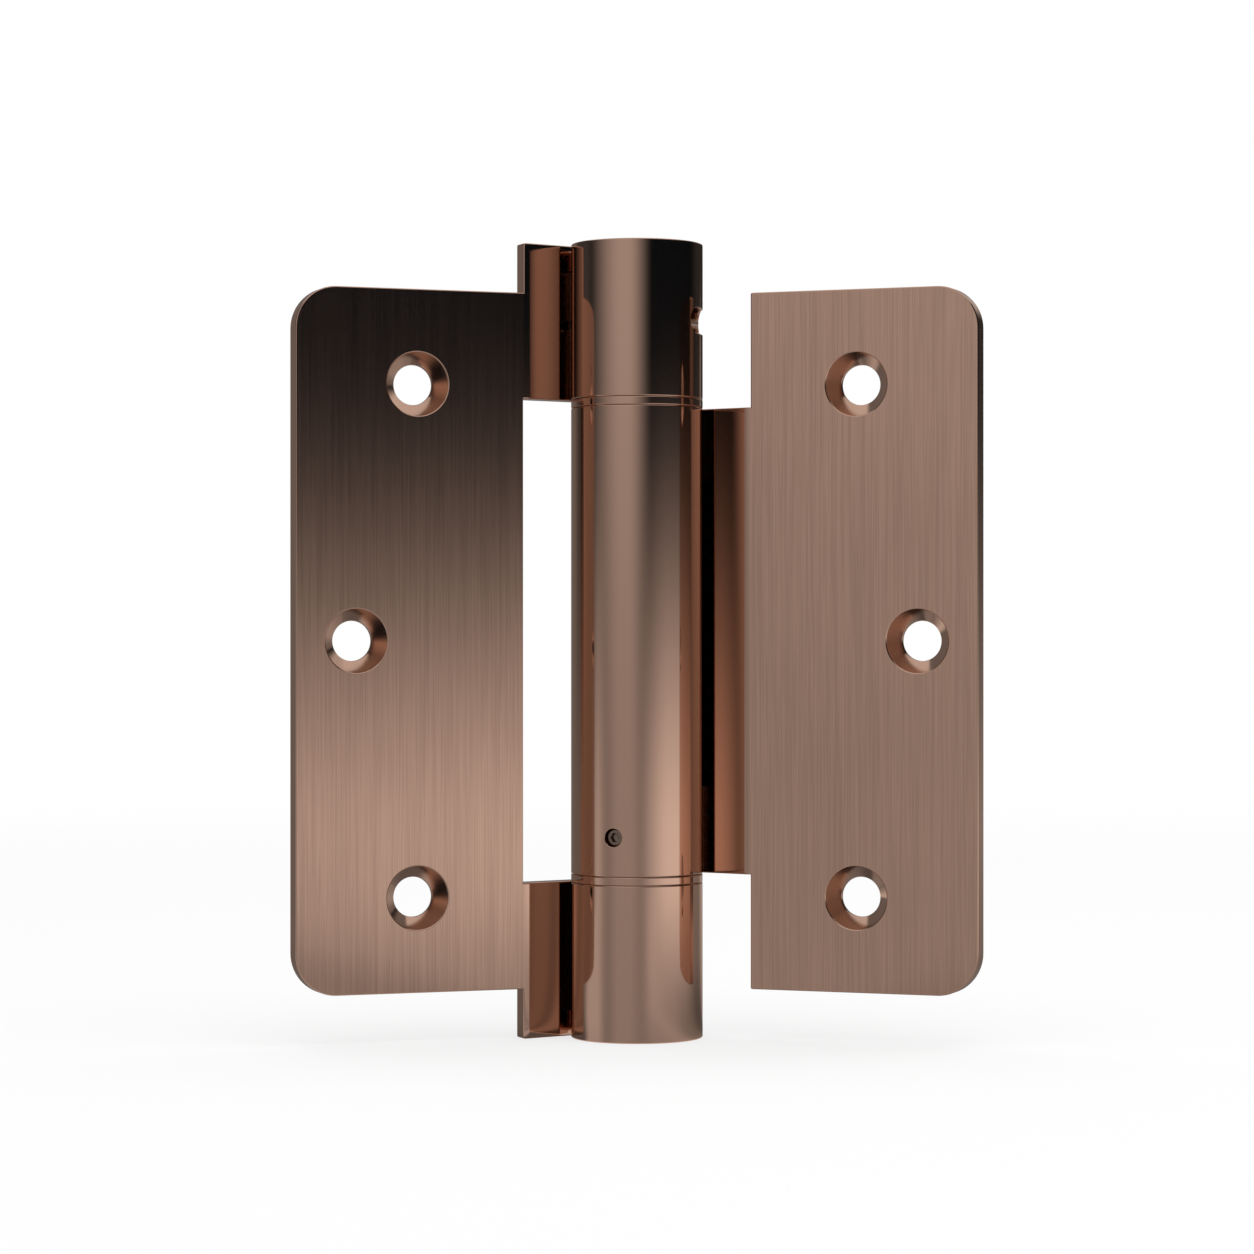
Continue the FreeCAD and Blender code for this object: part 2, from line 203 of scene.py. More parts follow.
class StageSettings(bpy.types.PropertyGroup):
    """Camera, floor and light."""

    camera_distance: length("Camera distance", "From the pin axis to the camera", 0.507)
    camera_height: length("Camera height", "Height of the level camera", 0.05715)
    focal_length: FloatProperty(
        name="Focal length", description="On a 36 mm sensor", default=100.8, unit="CAMERA"
    )
    shift_x: FloatProperty(name="Shift X", description="Sideways framing", default=-0.0079)
    shift_y: FloatProperty(name="Shift Y", description="Upright framing", default=0.0111)
    floor_colour: colour("Floor", "Pale floor", (0.86, 0.86, 0.86))
    floor_reach: length("Floor reach", "From the object to the floor's edge", 6.0)
    lamp_power: FloatProperty(
        name="Lamp power", description="Overhead soft light", default=12.0, unit="POWER"
    )
    lamp_size: length("Lamp size", "Side of the overhead light", 1.2)
    lamp_place: FloatVectorProperty(
        name="Lamp place", description="Middle of the light", default=(0.15, -0.1, 1.1), unit="LENGTH"
    )
    ambient: share("Ambient", "Strength of the white surroundings on matt surfaces", 0.45)
    card_radius: length("Card radius", "From the object to the ring of cards", 0.6)
    card_height: length("Card height", "Height of the ring of cards", 0.75)
    card_opening: length("Card opening", "Opening round the barrel in the mirrored floor", 0.0096)
    card_lift: length("Card lift", "Height of the mirrored floor above the real one", 0.00005)
    softbox: share("Softbox", "Brightness of the softbox beside the camera", 0.6)
    flag: share("Flag", "Brightness of the dark flags", 0.006)
    side_flag: share("Side flag", "Brightness of the flag on the left", 0.062)
    flag_fade: length("Flag fade", "Height over which the floor's light fades on a flag", 0.17)
    ceiling: share("Ceiling", "Brightness of the ceiling in reflections", 0.85)
    cool_haze: share("Cool haze", "Faint blue in the reflected surroundings", 0.006)


# Meshes


def mesh_from(bm, name):
    """The bmesh as a new mesh, freed afterwards."""
    mesh = bpy.data.meshes.new(name)
    bm.to_mesh(mesh)
    bm.free()
    return mesh


def placed(name, data):
    """A new object in the scene."""
    item = bpy.data.objects.new(name, data)
    bpy.context.scene.collection.objects.link(item)
    return item


def rounded(bm, geometry, offset, segments, affect="VERTICES"):
    """Rounds the corners of a flat face, or the edges of a solid."""
    bmesh.ops.bevel(
        bm,
        geom=geometry,
        offset=offset,
        segments=segments,
        profile=0.5,
        affect=affect,
        material=-1,
    )


def divided(bm, point, normal):
    """Divides every face that a plane goes through."""
    everything = bm.verts[:] + bm.edges[:] + bm.faces[:]
    bmesh.ops.bisect_plane(bm, geom=everything, dist=TOUCHING, plane_co=point, plane_no=normal)


def spun(bm, steps=PLUG_STEPS):
    """Spins the edges of a bmesh once round Z."""
    bmesh.ops.spin(
        bm,
        geom=bm.verts[:] + bm.edges[:],
        axis=(0.0, 0.0, 1.0),
        angle=math.tau,
        steps=steps,
        use_merge=True,
    )


def nearest(bm, point):
    """The vertex of a bmesh that is nearest to a point."""
    return min(bm.verts, key=lambda vertex: (vertex.co - point).length)


def turned(points, rounds=(), steps=PLUG_STEPS):
    """A form turned round Z.

    Its half section is given as points (radius, height), and its rounded corners as
    (which point, size, segments).
    """
    bm = bmesh.new()
    corners = [Vector((radius, 0.0, height)) for radius, height in points]
    bm.faces.new([bm.verts.new(corner) for corner in corners])
    for index, size, segments in rounds:
        rounded(bm, [nearest(bm, corners[index])], size, segments)
    bmesh.ops.delete(bm, geom=bm.faces[:], context="FACES_ONLY")
    on_axis = [edge for edge in bm.edges if max(end.co.x for end in edge.verts) < TOUCHING]
    bmesh.ops.delete(bm, geom=on_axis, context="EDGES")
    spun(bm, steps)
    bmesh.ops.remove_doubles(bm, verts=bm.verts[:], dist=10 * TOUCHING)
    bmesh.ops.recalc_face_normals(bm, faces=bm.faces[:])
    return bm


def block(inner, outer, low, high):
    """The half section of a plain ring, or of a disc where inner is 0."""
    return [(inner, low), (outer, low), (outer, high), (inner, high)]


def moved(bm, place):
    """The bmesh with every vertex taken through a mapping."""
    for vertex in bm.verts:
        vertex.co = place(vertex.co)
    bm.normal_update()
    bmesh.ops.recalc_face_normals(bm, faces=bm.faces[:])
    return bm


def evaluated(mesh, add_modifiers):
    """A mesh with modifiers applied."""
    holder = placed("holder", mesh)
    add_modifiers(holder)
    bpy.context.view_layer.update()
    result = holder.evaluated_get(bpy.context.evaluated_depsgraph_get())
    made = bpy.data.meshes.new_from_object(result)
    bpy.data.objects.remove(holder)
    return made


def cut(mesh, cutters):
    """The mesh with every cutter taken out of it."""
    tools = [placed("tool", mesh_from(cutter, "tool")) for cutter in cutters]

    def add(holder):
        for tool in tools:
            modifier = holder.modifiers.new("cut", "BOOLEAN")
            modifier.operation = "DIFFERENCE"
            modifier.solver = "EXACT"
            modifier.object = tool

    made = evaluated(mesh, add)
    for tool in tools:
        bpy.data.objects.remove(tool)
    return made


def evened(mesh, sharp=SHARP):
    """The mesh shaded smooth up to an angle, its flats kept flat beside their rounded edges."""
    bm = bmesh.new()
    bm.from_mesh(mesh)
    for face in bm.faces:
        face.smooth = True
    for edge in bm.edges:
        edge.smooth = len(edge.link_faces) == 2 and edge.calc_face_angle(0.0) < sharp
    bm.to_mesh(mesh)
    bm.free()

    def add(holder):
        modifier = holder.modifiers.new("even", "WEIGHTED_NORMAL")
        modifier.mode = "FACE_AREA"
        modifier.weight = 100
        modifier.keep_sharp = True

    return evaluated(mesh, add)


def finished(name, mesh, body, node, slot, *finishes):
    """Puts a modelled mesh into the scene in metres, hangs it on the body that it rides on, and hides the
    part that it stands for.
    """
    mesh.transform(Matrix.Scale(1 / MM, 4))
    mesh.name = name
    for kind in finishes:
        mesh.materials.append(finish(kind))
    solid = bmesh.new()
    solid.from_mesh(mesh)
    loose = [edge for edge in solid.edges if len(edge.link_faces) != 2]
    volume = solid.calc_volume(signed=True)
    solid.free()
    if loose or volume <= 0:
        raise RuntimeError(f"{name} isn't a closed solid: {len(loose)} edges, volume {volume}")
    piece = placed(name, mesh)
    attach(piece, body)
    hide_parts(node)


# The sheet that is rolled into a leaf


class RolledSheet:
    """Where a point of the flat sheet goes when its inner end is bent back and curled round the pin.

    On the flat sheet, X runs outwards from the pin, Z is the height, and the front face is at Y = 0.
    """

    def __init__(self, leaf, barrel, hand):
        self.hand = hand
        self.turn = math.pi + leaf.swing if hand == FRAME_HAND else -leaf.swing
        self.plate = leaf.plate * MM
        self.bore = barrel.bore_radius * MM
        self.outer = self.bore + self.plate
        self.inner_edge = leaf.inner_edge * MM
        self.setback = leaf.setback * MM
        self.bend_outer = self.plate + barrel.bend_radius * MM
        self.bend_setback = self.setback + self.bend_outer
        distance = math.hypot(self.inner_edge, self.bend_setback)
        self.lean = math.asin((self.outer + barrel.bend_radius * MM) / distance)
        self.lean -= math.atan2(self.bend_setback, self.inner_edge)
        self.bend_length = (self.bend_outer - self.plate / 2) * self.lean
        self.arm_start = self.inner_edge - self.bend_length
        arm_length = self.inner_edge * math.cos(self.lean) - self.bend_setback * math.sin(self.lean)
        self.curl_start = self.arm_start - arm_length
        self.curl_radius = self.bore + self.plate / 2
        seam = math.asin((self.bore - barrel.seam_gap * MM) / self.outer)
        self.curl_angle = 1.5 * math.pi + seam
        self.end = self.curl_start - self.curl_radius * self.curl_angle

    def section(self, along, depth):
        """The point of the section, the sheet's heading there, and its stretch."""
        if along >= self.inner_edge:
            return along, depth - self.setback, 0.0, 1.0
        if along >= self.arm_start:
            heading = (self.inner_edge - along) / self.bend_length * self.lean
            radius = self.bend_outer + depth
            u = self.inner_edge - radius * math.sin(heading)
            v = radius * math.cos(heading) - self.bend_setback
            return u, v, heading, radius * self.lean / self.bend_length
        if along >= self.curl_start:
            rest = along - self.curl_start
            across = depth - self.bore
            u = rest * math.cos(self.lean) - across * math.sin(self.lean)
            v = rest * math.sin(self.lean) + across * math.cos(self.lean)
            return u, v, self.lean, 1.0
        heading = self.lean - (self.curl_start - along) / self.curl_radius
        radius = self.bore - depth
        stretch = radius / self.curl_radius
        return radius * math.sin(heading), -radius * math.cos(heading), heading, stretch

    def swung(self, u, v, height):
        """A point or direction of the section, turned to where the leaf stands."""
        v *= self.hand
        x = u * math.cos(self.turn) - v * math.sin(self.turn)
        y = u * math.sin(self.turn) + v * math.cos(self.turn)
        return Vector((x, y, height))

    def along_at(self, azimuth):
        """How far along the flat sheet an azimuth of the barrel is."""
        local = (azimuth - math.pi / 2 - self.turn) * self.hand
        curled = (self.lean - math.pi / 2 - local) % math.tau
        return self.curl_start - self.curl_radius * curled

    def roll(self, mesh):
        """Rolls a flat mesh, and its normals with it."""
        places = {}
        frames = []
        for vertex in mesh.vertices:
            along, across, height = vertex.co
            u, v, heading, stretch = self.section(along, across * self.hand)
            places[vertex.index] = self.swung(u, v, height)
            frames.append((heading, stretch))
        normals = []
        for loop in mesh.loops:
            along, across, height = mesh.corner_normals[loop.index].vector
            heading, stretch = frames[loop.vertex_index]
            along /= stretch
            across *= self.hand
            u = along * math.cos(heading) - across * math.sin(heading)
            v = along * math.sin(heading) + across * math.cos(heading)
            normals.append(self.swung(u, v, height).normalized())
        for vertex in mesh.vertices:
            vertex.co = places[vertex.index]
        mesh.update()
        mesh.normals_split_custom_set(normals)
        return mesh

    def stations(self):
        """Where the flat sheet is divided, so that bend and curl come out round."""
        bend = self.bend_length / BEND_STEPS
        bends = [self.inner_edge - bend * step for step in range(BEND_STEPS + 1)]
        curl_steps = round(self.curl_angle / CURL_STEP)
        curl = self.curl_radius * self.curl_angle / curl_steps
        return bends + [self.curl_start - curl * step for step in range(curl_steps)]


def flat_sheet(leaf, sheet, strips):
    """The flat plate of one leaf: its panel and the strips, as (bottom, top), that are curled."""
    inner, reach = sheet.inner_edge, leaf.reach * MM
    bottom, top = leaf.bottom * MM, leaf.top * MM
    lowest = min(bottom, strips[0][0])
    highest = max(top, strips[-1][1])
    bm = bmesh.new()
    bmesh.ops.create_grid(bm, x_segments=1, y_segments=1, size=1.0)
    for vertex in bm.verts:
        far = vertex.co.x > 0
        high = vertex.co.y > 0
        vertex.co = (reach if far else sheet.end, 0.0, highest if high else lowest)
    levels = {bottom, top, *(level for strip in strips for level in strip)}
    for level in sorted(levels):
        divided(bm, (0, 0, level), (0, 0, 1))
    divided(bm, (inner, 0, 0), (1, 0, 0))
    waste = []
    for face in bm.faces:
        middle = face.calc_center_median()
        in_panel = middle.x > inner and bottom < middle.z < top
        in_strip = middle.x < inner and any(low < middle.z < high for low, high in strips)
        if not in_panel and not in_strip:
            waste.append(face)
    bmesh.ops.delete(bm, geom=waste, context="FACES")
    bmesh.ops.dissolve_limit(bm, angle_limit=math.radians(1), verts=bm.verts[:], edges=bm.edges[:])
    large = [vertex for vertex in bm.verts if vertex.co.x > reach - NEARLY]
    rounded(bm, large, leaf.corner * MM, 16)
    small = [vertex for vertex in bm.verts if vertex.co.x < inner + NEARLY and is_outer_corner(vertex)]
    # A little larger than the arris, so that the rounded edges meet cleanly there
    rounded(bm, small, 1.3 * leaf.arris * MM, 3)
    made = bmesh.ops.extrude_face_region(bm, geom=bm.faces[:])
    back = [item for item in made["geom"] if isinstance(item, bmesh.types.BMVert)]
    bmesh.ops.translate(bm, verts=back, vec=(0.0, -sheet.hand * sheet.plate, 0.0))
    bmesh.ops.recalc_face_normals(bm, faces=bm.faces[:])
    rims = [edge for edge in bm.edges if abs(edge.verts[0].co.y - edge.verts[1].co.y) < NEARLY]
    rounded(bm, rims, leaf.arris * MM, 3, "EDGES")
    return bm


def is_outer_corner(vertex):
    """Whether the flat face turns outwards at this vertex, by more than 10 degrees."""
    corner = vertex.link_loops[0]
    return corner.is_convex and corner.calc_angle() < math.radians(180 - 10)


def screw_places(leaf):
    """The screw holes as (distance from the pin, height), in millimetres."""
    column = (leaf.reach - leaf.column_inset) * MM
    middle = (leaf.reach - leaf.middle_inset) * MM
    return [
        (column, (leaf.top - leaf.end_inset) * MM),
        (middle, (leaf.top + leaf.bottom) / 2 * MM),
        (column, (leaf.bottom + leaf.end_inset) * MM),
    ]


def countersinks(leaf, hand):
    """The cutters of the screw holes, on the flat sheet."""
    mouth, bore, sink = leaf.sink_radius * MM, leaf.screw_radius * MM, leaf.sink_depth * MM
    arris, through = leaf.sink_arris * MM, leaf.plate * MM + 2 * CLEAR
    # The cutter leaves the face at a shallow angle, so that its rounding runs out there
    lift = 0.1
    section = [
        (0, CLEAR),
        (mouth + 2 * CLEAR, CLEAR),
        (mouth + 2 * CLEAR, lift),
        (mouth, 0),
        (bore, -sink),
        (bore, -through),
        (0, -through),
    ]
    cutters = []
    for along, height in screw_places(leaf):
        cutter = turned(section, [(4, arris, 2), (3, arris, 3)], SINK_STEPS)
        cutters.append(moved(cutter, lambda p: Vector((along + p.x, hand * p.z, height + p.y))))
    return cutters


def curl_cutter(sheet, radius, arris, azimuth, height, swing=0.0):
    """A cutter through the curled wall, laid out on the flat sheet so that it comes out straight."""
    wall, lift = sheet.plate, 0.05
    section = [
        (0, wall + CLEAR),
        (radius + CLEAR, wall + CLEAR),
        (radius + CLEAR, wall + lift),
        (radius, wall),
        (radius, -CLEAR),
        (0, -CLEAR),
    ]
    cutter = turned(section, [(3, arris, 3)], PIN_STEPS)
    # Half a step, so that no vertex lies on the line where the two halves swing apart
    half_step = Matrix.Rotation(math.pi / PIN_STEPS, 3, "Z")
    bmesh.ops.rotate(cutter, verts=cutter.verts[:], cent=(0, 0, 0), matrix=half_step)
    middle = sheet.along_at(azimuth)
    half = swing / 2 * sheet.curl_radius

    def place(point):
        side = 0 if abs(point.x) < TOUCHING else math.copysign(1, point.x)
        turn = math.asin(point.x / (sheet.bore + point.z))
        along = middle + side * half + turn * sheet.curl_radius
        return Vector((along, -sheet.hand * point.z, height + point.y))

    return moved(cutter, place)


def rolled_leaf(leaf, sheet, strips, opening):
    """One leaf: a flat sheet that is cut, divided, and rolled up at its inner end."""
    blank = mesh_from(flat_sheet(leaf, sheet, strips), "sheet")
    drilled = cut(blank, [*countersinks(leaf, sheet.hand), opening])
    bm = bmesh.new()
    bm.from_mesh(drilled)
    bmesh.ops.remove_doubles(bm, verts=bm.verts[:], dist=TOUCHING)
    for station in sheet.stations():
        divided(bm, (station, 0, 0), (1, 0, 0))
    bmesh.ops.recalc_face_normals(bm, faces=bm.faces[:])
    bm.to_mesh(drilled)
    bm.free()
    flat = evened(drilled)
    in_a_hole = (leaf.sink_radius + leaf.sink_arris) * MM
    for face in flat.polygons:
        along, across, height = face.center
        in_panel = abs(face.normal.y) > 0.999 and along > sheet.inner_edge
        at_surface = min(abs(across), abs(abs(across) - sheet.plate)) < NEARLY
        if in_panel and at_surface:
            face.material_index = BRUSHED
        elif any(math.dist((along, height), place) < in_a_hole for place in screw_places(leaf)):
            face.material_index = SUNK
        else:
            face.material_index = POLISHED
    return sheet.roll(flat)


# Finishes


class Wire:
    """A socket of a node tree. Arithmetic on it adds Math nodes."""

    def __init__(self, board, socket):
        self.board = board
        self.socket = socket

    def maths(self, operation, first, second=0.0):
        return self.board.add("ShaderNodeMath", {"operation": operation}, {0: first, 1: second})

    def __add__(self, other):
        return self.maths("ADD", self, other)

    def __radd__(self, other):
        return self.maths("ADD", other, self)

    def __sub__(self, other):
        return self.maths("SUBTRACT", self, other)

    def __rsub__(self, other):
        return self.maths("SUBTRACT", other, self)

    def __mul__(self, other):
        return self.maths("MULTIPLY", self, other)

    def __rmul__(self, other):
        return self.maths("MULTIPLY", other, self)

    def __truediv__(self, other):
        return self.maths("DIVIDE", self, other)

    def __pow__(self, other):
        return self.maths("POWER", self, other)


class Board:
    """A node tree that finishes are wired on."""

    def __init__(self, tree):
        self.tree = tree
        tree.nodes.clear()

    def add(self, kind, settings=None, inputs=None, output=0):
        """A node with its settings made first, then its sockets set or linked. Gives one output."""
        node = self.tree.nodes.new(kind)
        for name, value in (settings or {}).items():
            if name == "stops":
                while len(node.color_ramp.elements) < len(value):
                    node.color_ramp.elements.new(1.0)
                for element, (position, grey) in zip(node.color_ramp.elements, value):
                    element.position = position
                    element.color = (grey, grey, grey, 1.0)
            else:
                setattr(node, name, value)
        for name, value in (inputs or {}).items():
            if isinstance(value, Wire):
                self.tree.links.new(value.socket, node.inputs[name])
            else:
                node.inputs[name].default_value = value
        return Wire(self, node.outputs[output]) if len(node.outputs) else node

    def object_place(self):
        """The surface's own coordinates, in metres."""
        return self.add("ShaderNodeTexCoord", output="Object")

    def axes(self, place, count=3):
        """The single coordinates of a place."""
        return [
            self.add("ShaderNodeSeparateXYZ", inputs={"Vector": place}, output=axis)
            for axis in range(count)
        ]

    def noise(self, place, level, upright, detail=2.0, roughness=0.5):
        """Noise with so many features in a metre of X or Y, and in a metre of Z."""
        scale = (level, level, upright)
        stretched = self.add("ShaderNodeMapping", inputs={"Vector": place, "Scale": scale})
        return self.add(
            "ShaderNodeTexNoise",
            inputs={"Vector": stretched, "Scale": 1.0, "Detail": detail, "Roughness": roughness},
            output="Fac",
        )

    def smooth_step(self, value, start, end, low=0.0, high=1.0):
        """A value that eases from low at start to high at end."""
        return self.add(
            "ShaderNodeMapRange",
            {"interpolation_type": "SMOOTHSTEP"},
            {"Value": value, "From Min": start, "From Max": end, "To Min": low, "To Max": high},
        )

    def bump(self, value, middle, reach):
        """1 at the middle, easing to 0 on both sides."""
        rising = self.smooth_step(value, middle - reach, middle)
        return rising * self.smooth_step(value, middle + reach, middle)

    def tint(self, base, shade, amount):
        """A colour, darker by half the amount where the shade is 0, and lighter where it is 1."""
        dark, light = (
            (*(channel * (1 + side * amount / 2) for channel in base), 1.0) for side in (-1, 1)
        )
        # The node's colours are its inputs 6 and 7 and its output 2
        mixed = {"Factor": shade, 6: dark, 7: light}
        return self.add("ShaderNodeMix", {"data_type": "RGBA"}, mixed, output=2)

    def relief(self, marks, strength, depth):
        """A relief of this depth in metres, for a shader's Normal."""
        raised = {"Strength": strength, "Distance": depth, "Height": marks}
        return self.add("ShaderNodeBump", inputs=raised)

    def glow(self, colour):
        """Shows a colour as it is."""
        return self.add("ShaderNodeEmission", inputs={"Color": colour, "Strength": 1.0})

    def blend(self, factor, first, second):
        """The first shader where the factor is 0, and the second where it is 1."""
        return self.add("ShaderNodeMixShader", inputs={0: factor, 1: first, 2: second})

    def surface(self, **inputs):
        """The shader of a finish, with its sockets named with underscores."""
        named = {name.replace("_", " "): value for name, value in inputs.items()}
        self.show(self.add("ShaderNodeBsdfPrincipled", inputs=named))

    def show(self, shader, owner="Material"):
        """Makes a shader the tree's result."""
        self.add(f"ShaderNodeOutput{owner}", inputs={"Surface": shader})


def new_material(name):
    """A material and its empty board."""
    material = bpy.data.materials.new(name)
    material.use_nodes = True
    return material, Board(material.node_tree)


def metal(
    name, base, grain, shade, roughness, spread, relief, depth, brushed=0.0, lacquer=0.0, rim=(1, 1, 1)
):
    """A metal whose colour, roughness and relief follow its grain.

    Shade and spread say by how much its colour and its roughness vary. Rim is its tint at a
    grazing angle, and lacquer the weight of a satin coat on it.
    """
    material, board = new_material(name)
    place = board.object_place()
    marks = grain(board, place)
    clouds = board.noise(place, 90.0, 60.0, 3.0)
    board.surface(
        Base_Color=board.tint(base, marks * 0.6 + clouds * 0.4, shade),
        Metallic=1.0,
        Roughness=roughness + (marks - 0.5) * spread,
        Anisotropic=brushed,
        Specular_Tint=(*rim, 1.0),
        Coat_Weight=lacquer,
        Coat_Roughness=0.5,
        Normal=board.relief(marks, relief, depth),
    )
    return material


def upright_streaks(board, place):
    """Fine upright brush lines, with wider ones among them."""
    fine = board.noise(place, 5600.0, 55.0, 2.0, 0.5)
    wide = board.noise(place, 2100.0, 24.0, 2.0, 0.6)
    return board.smooth_step(fine * 0.6 + wide * 0.4, 0.36, 0.64)


def polish_marks(board, place):
    """The faint waviness of a buffed and plated surface."""
    return board.noise(place, 260.0, 160.0, 3.0)


def turning_rings(board, place):
    """Rings left by the lathe, round Z."""
    return board.noise(place, 700.0, 9000.0, 2.0)


def wire_scale(board, place):
    """The mottled skin of tempered wire."""
    return board.noise(place, 1400.0, 1400.0, 4.0, 0.6)


def fine_grit(board, place):
    """A ground or blackened surface."""
    return board.noise(place, 5200.0, 5200.0, 3.0, 0.6)


def nylon(name, base):
    """A matt, slightly waxy plastic."""
    material, board = new_material(name)
    grain = board.noise(board.object_place(), 1800.0, 1800.0, 3.0)
    board.surface(
        Base_Color=board.tint(base, grain, 0.1),
        Roughness=0.45 + grain * 0.15,
        Normal=board.relief(grain, 0.15, 0.0001),
    )
    return material


def finish(kind):
    """The material of this kind, made the first time that it is asked for."""
    if kind in bpy.data.materials:
        return bpy.data.materials[kind]
    colours = bpy.context.scene.hinge_finish
    if kind == "black_nylon":
        return nylon(kind, colours.nylon)
    brushed, polished = colours.brushed_roughness, colours.polished_roughness
    # Each metal's colour, grain, shade, roughness, spread, relief and its depth in metres
    metals = {
        "brushed_bronze": (colours.bronze, upright_streaks, 0.32, brushed, 0.02, 0.12, 0.00002),
        "polished_bronze": (colours.bronze, polish_marks, 0.04, polished, 0.03, 0.04, 0.0001),
        "countersunk_bronze": (colours.bronze, polish_marks, 0.08, 0.14, 0.04, 0.05, 0.0001),
        "turned_steel": (colours.bare_steel, turning_rings, 0.15, 0.28, 0.1, 0.3, 0.00005),
        "ground_steel": (colours.pin_steel, fine_grit, 0.12, 0.46, 0.08, 0.1, 0.00002),
        "dark_steel": (colours.oxide, fine_grit, 0.25, 0.3, 0.12, 0.15, 0.00003),
        "tempered_wire": (colours.spring, wire_scale, 0.3, 0.34, 0.14, 0.2, 0.00004),
    }
    plating = {"lacquer": colours.lacquer, "rim": colours.rim} if "bronze" in kind else {}
    if kind == "brushed_bronze":
        plating["brushed"] = 0.85
    return metal(kind, *metals[kind], **plating)


# Operators, one for each piece or group of like pieces


class BuildFrameLeaf(bpy.types.Operator):
    """Rolls the leaf on the jamb, with two end knuckles and the tension slot"""

    bl_idname = "hinge.frame_leaf"
    bl_label = "Frame leaf"

    def execute(self, context):
        leaf, barrel = context.scene.hinge_leaf, context.scene.hinge_barrel
        strips = [
            (0.0, barrel.lower_ring * MM),
            (barrel.upper_ring_top * MM, barrel.height * MM),
        ]
        sheet = RolledSheet(leaf, barrel, FRAME_HAND)
        half, arris, height = barrel.slot_height / 2 * MM, barrel.slot_arris * MM, sum(strips[-1]) / 2
        slot = curl_cutter(sheet, half, arris, barrel.slot_middle, height, barrel.slot_swing)
        mesh = rolled_leaf(leaf, sheet, strips, slot)
        finished("frame_leaf_sheet", mesh, "frame_side", "frame_leaf", "leaf_metal", *LEAF_FINISHES)
        return {"FINISHED"}


class BuildDoorLeaf(bpy.types.Operator):
    """Rolls the leaf on the door, with the middle knuckle and its tapped hole"""

    bl_idname = "hinge.door_leaf"
    bl_label = "Door leaf"

    def execute(self, context):
        leaf, barrel = context.scene.hinge_leaf, context.scene.hinge_barrel
        strips = [(barrel.lower_ring_top * MM, barrel.upper_ring * MM)]
        sheet = RolledSheet(leaf, barrel, DOOR_HAND)
        radius, arris = barrel.grub_radius * MM, barrel.grub_arris * MM
        hole = curl_cutter(sheet, radius, arris, barrel.grub_azimuth, barrel.grub_height * MM)
        mesh = rolled_leaf(leaf, sheet, strips, hole)
        finished("door_leaf_sheet", mesh, "door_side", "door_leaf", "leaf_metal", *LEAF_FINISHES)
        return {"FINISHED"}


class BuildWashers(bpy.types.Operator):
    """Turns the two thin rings between the knuckles"""

    bl_idname = "hinge.washers"
    bl_label = "Washers"

    def execute(self, context):
        leaf, barrel = context.scene.hinge_leaf, context.scene.hinge_barrel
        inner = (barrel.bore_radius + barrel.ring_play) * MM
        outer = (barrel.bore_radius + leaf.plate) * MM
        arris = barrel.ring_arris * MM
        rings = [
            ("lower_washer", "frame_side", barrel.lower_ring, barrel.lower_ring_top),
            ("upper_washer", "door_side", barrel.upper_ring, barrel.upper_ring_top),
        ]
        for name, body, low, high in rings:
            section = block(inner, outer, low * MM, high * MM)
            mesh = evened(mesh_from(turned(section, [(1, arris, 3), (2, arris, 3)], RING_STEPS), name))
            finished(f"{name}_ring", mesh, body, name, "washer_metal", "polished_bronze")
        return {"FINISHED"}


class BuildCaps(bpy.types.Operator):
    """Turns the discs that close the barrel's ends"""

    bl_idname = "hinge.caps"
    bl_label = "Caps"

    def execute(self, context):
        barrel = context.scene.hinge_barrel
        radius, chamfer = barrel.plug_radius * MM, barrel.plug_chamfer * MM
        caps = [
            ("top_cap", top_cap_low.z, top_cap_high.z, 2),
            ("bottom_cap", bottom_cap_low.z, bottom_cap_high.z, 1),
        ]
        for name, low, high, outer_corner in caps:
            section = block(0, radius, low * MM, high * MM)
            mesh = evened(mesh_from(turned(section, [(outer_corner, chamfer, 3)]), name))
            finished(f"{name}_disc", mesh, "frame_side", name, "cap_metal", "polished_bronze")
        return {"FINISHED"}


def aimed(bm, azimuth, height):
    """A form turned round Z, laid level to point outwards at an azimuth."""
    outwards = Vector((math.sin(azimuth), -math.cos(azimuth), 0.0))
    turn = outwards.to_track_quat("Z", "Y").to_matrix()
    return moved(bm, lambda point: turn @ point + Vector((0.0, 0.0, height)))


